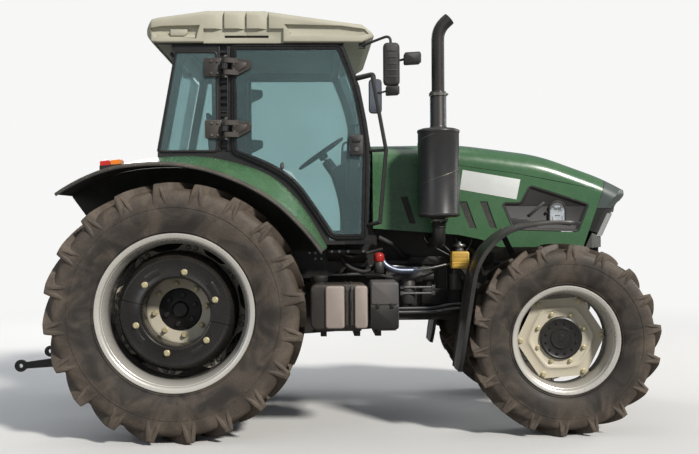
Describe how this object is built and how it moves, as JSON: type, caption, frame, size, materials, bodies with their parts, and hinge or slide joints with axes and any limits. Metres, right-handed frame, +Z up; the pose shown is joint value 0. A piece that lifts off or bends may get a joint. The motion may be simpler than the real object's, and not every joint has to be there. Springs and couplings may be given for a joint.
{
  "type": "farm tractor",
  "caption": "Four-wheel-drive cab tractor with lugged tyres, lifting bonnet, side exhaust and rear three-point hitch.",
  "frame": {"origin": "on the ground, at the middle of the overall length and width", "axes": "+X forward, +Y to the tractor's left, +Z up"},
  "size_m": [4.366, 2.168, 2.9031],
  "materials": {
    "black_casting": "satin paint, dusty",
    "black_steel": "satin",
    "black_paint": "satin",
    "engine_grey": "dull",
    "weight_iron": "dull",
    "green_paint": "gloss",
    "grey_plastic": "matt",
    "black_plastic": "matt",
    "dark_plastic": "matt",
    "exhaust_black": "heat-resistant matt paint",
    "yellow_plastic": "gloss",
    "roof_plastic": "satin",
    "lamp_glass": "clear",
    "tinted_glass": "tinted",
    "seat_cover": "woven",
    "tyre": "dusty rubber",
    "rim_paint": "satin, dusty"
  },
  "bodies": {
    "chassis": {"transmission": "black_casting", "drawbar": "black_steel", "engine": "engine_grey", "front_support": "black_casting", "front_axle": "black_casting", "front_cowl": "grey_plastic", "exhaust": "exhaust_black", "filter_unit": "yellow_plastic", "fuel_tank": "black_plastic", "battery_box": "grey_plastic", "step_left": "black_steel", "cab_frame": "black_paint", "roof": "roof_plastic", "windscreen": "tinted_glass", "seat": "seat_cover", "console": "black_plastic", "side_console": "grey_plastic", "fender_rear_right": "green_paint", "fender_rear_left": "green_paint", "quarter_glass_right": "tinted_glass", "quarter_glass_left": "tinted_glass", "mirror_right": "black_plastic", "mirror_left": "black_plastic"},
    "hood": {"hood": "green_paint", "grille": "black_plastic", "headlamp_right": "lamp_glass", "headlamp_left": "lamp_glass"},
    "rear_window": {"rear_window": "tinted_glass"},
    "steering_wheel": {"steering_wheel": "black_plastic"},
    "tie_rod": {"tie_rod": "black_steel"},
    "lift_arms": {"rockshaft": "black_steel"},
    "lift_rods": {"lift_rod_right": "black_steel", "lift_rod_left": "black_steel"},
    "lower_links": {"lower_link_right": "black_steel", "lower_link_left": "black_steel"},
    "door_right": {"door_right": "black_paint", "door_glass_right": "tinted_glass"},
    "knuckle_right": {"knuckle_right": "black_casting", "fender_front_right": "dark_plastic"},
    "wheel_front_right": {"tyre_front_right": "tyre", "rim_front_right": "rim_paint"},
    "wheel_rear_right": {"tyre_rear_right": "tyre", "rim_rear_right": "rim_paint", "wheel_weight_right": "weight_iron"},
    "door_left": {"door_left": "black_paint", "door_glass_left": "tinted_glass"},
    "knuckle_left": {"knuckle_left": "black_casting", "fender_front_left": "dark_plastic"},
    "wheel_front_left": {"tyre_front_left": "tyre", "rim_front_left": "rim_paint"},
    "wheel_rear_left": {"tyre_rear_left": "tyre", "rim_rear_left": "rim_paint", "wheel_weight_left": "weight_iron"}
  },
  "joints": [
    {"name": "hood_lift", "type": "hinge", "parent": "chassis", "child": "hood", "pos_m": [0.394, 0, 1.9], "axis": [0, -1, 0], "range_deg": [0, 50]},
    {"name": "rear_window_lift", "type": "hinge", "parent": "chassis", "child": "rear_window", "pos_m": [-1.061, 0, 2.568], "axis": [0, 1, 0], "range_deg": [0, 55]},
    {"name": "door_right_swing", "type": "hinge", "parent": "chassis", "child": "door_right", "pos_m": [-0.673, -0.838, 2], "axis": [0, 0, -1], "range_deg": [0, 75]},
    {"name": "door_left_swing", "type": "hinge", "parent": "chassis", "child": "door_left", "pos_m": [-0.673, 0.838, 2], "axis": [0, 0, 1], "range_deg": [0, 75]},
    {"name": "steer_right", "type": "hinge", "parent": "chassis", "child": "knuckle_right", "pos_m": [1.541, -0.68, 0.628], "axis": [0, 0, 1], "range_deg": [-25, 25]},
    {"name": "steer_left", "type": "hinge", "parent": "chassis", "child": "knuckle_left", "pos_m": [1.541, 0.68, 0.628], "axis": [0, 0, 1], "range_deg": [-25, 25]},
    {"name": "tie_rod_slide", "type": "slide", "parent": "chassis", "child": "tie_rod", "axis": [0, 1, 0], "range_m": [-0.077, 0.077]},
    {"name": "wheel_front_right_spin", "type": "hinge", "parent": "knuckle_right", "child": "wheel_front_right", "pos_m": [1.541, -0.82, 0.628], "axis": [0, 1, 0], "continuous": true},
    {"name": "wheel_front_left_spin", "type": "hinge", "parent": "knuckle_left", "child": "wheel_front_left", "pos_m": [1.541, 0.82, 0.628], "axis": [0, 1, 0], "continuous": true},
    {"name": "wheel_rear_right_spin", "type": "hinge", "parent": "chassis", "child": "wheel_rear_right", "pos_m": [-0.991, -0.85, 0.838], "axis": [0, 1, 0], "continuous": true},
    {"name": "wheel_rear_left_spin", "type": "hinge", "parent": "chassis", "child": "wheel_rear_left", "pos_m": [-0.991, 0.85, 0.838], "axis": [0, 1, 0], "continuous": true},
    {"name": "steering_wheel_turn", "type": "hinge", "parent": "chassis", "child": "steering_wheel", "pos_m": [-0.031, 0, 1.9], "axis": [-0.5736, 0, 0.8192], "range_deg": [-720, 720]},
    {"name": "hitch_lift", "type": "hinge", "parent": "chassis", "child": "lift_arms", "pos_m": [-1.291, 0, 1.19], "axis": [0, 1, 0], "range_deg": [-15, 40]},
    {"name": "lift_rod_swing", "type": "hinge", "parent": "lift_arms", "child": "lift_rods", "pos_m": [-1.636, 0, 1.19], "axis": [0, 1, 0], "range_deg": [-39, 15]},
    {"name": "lower_link_swing", "type": "hinge", "parent": "chassis", "child": "lower_links", "pos_m": [-1.171, 0, 0.47], "axis": [0, 1, 0], "range_deg": [-10, 26.5]}
  ],
  "couplings": [
    {"joint": "steer_left", "follows": "steer_right", "ratio": 1},
    {"joint": "tie_rod_slide", "follows": "steer_right", "m_per_rad": -0.1744},
    {"joint": "lift_rod_swing", "follows": "hitch_lift", "ratio": -0.955},
    {"joint": "lower_link_swing", "follows": "hitch_lift", "ratio": 0.655}
  ]
}
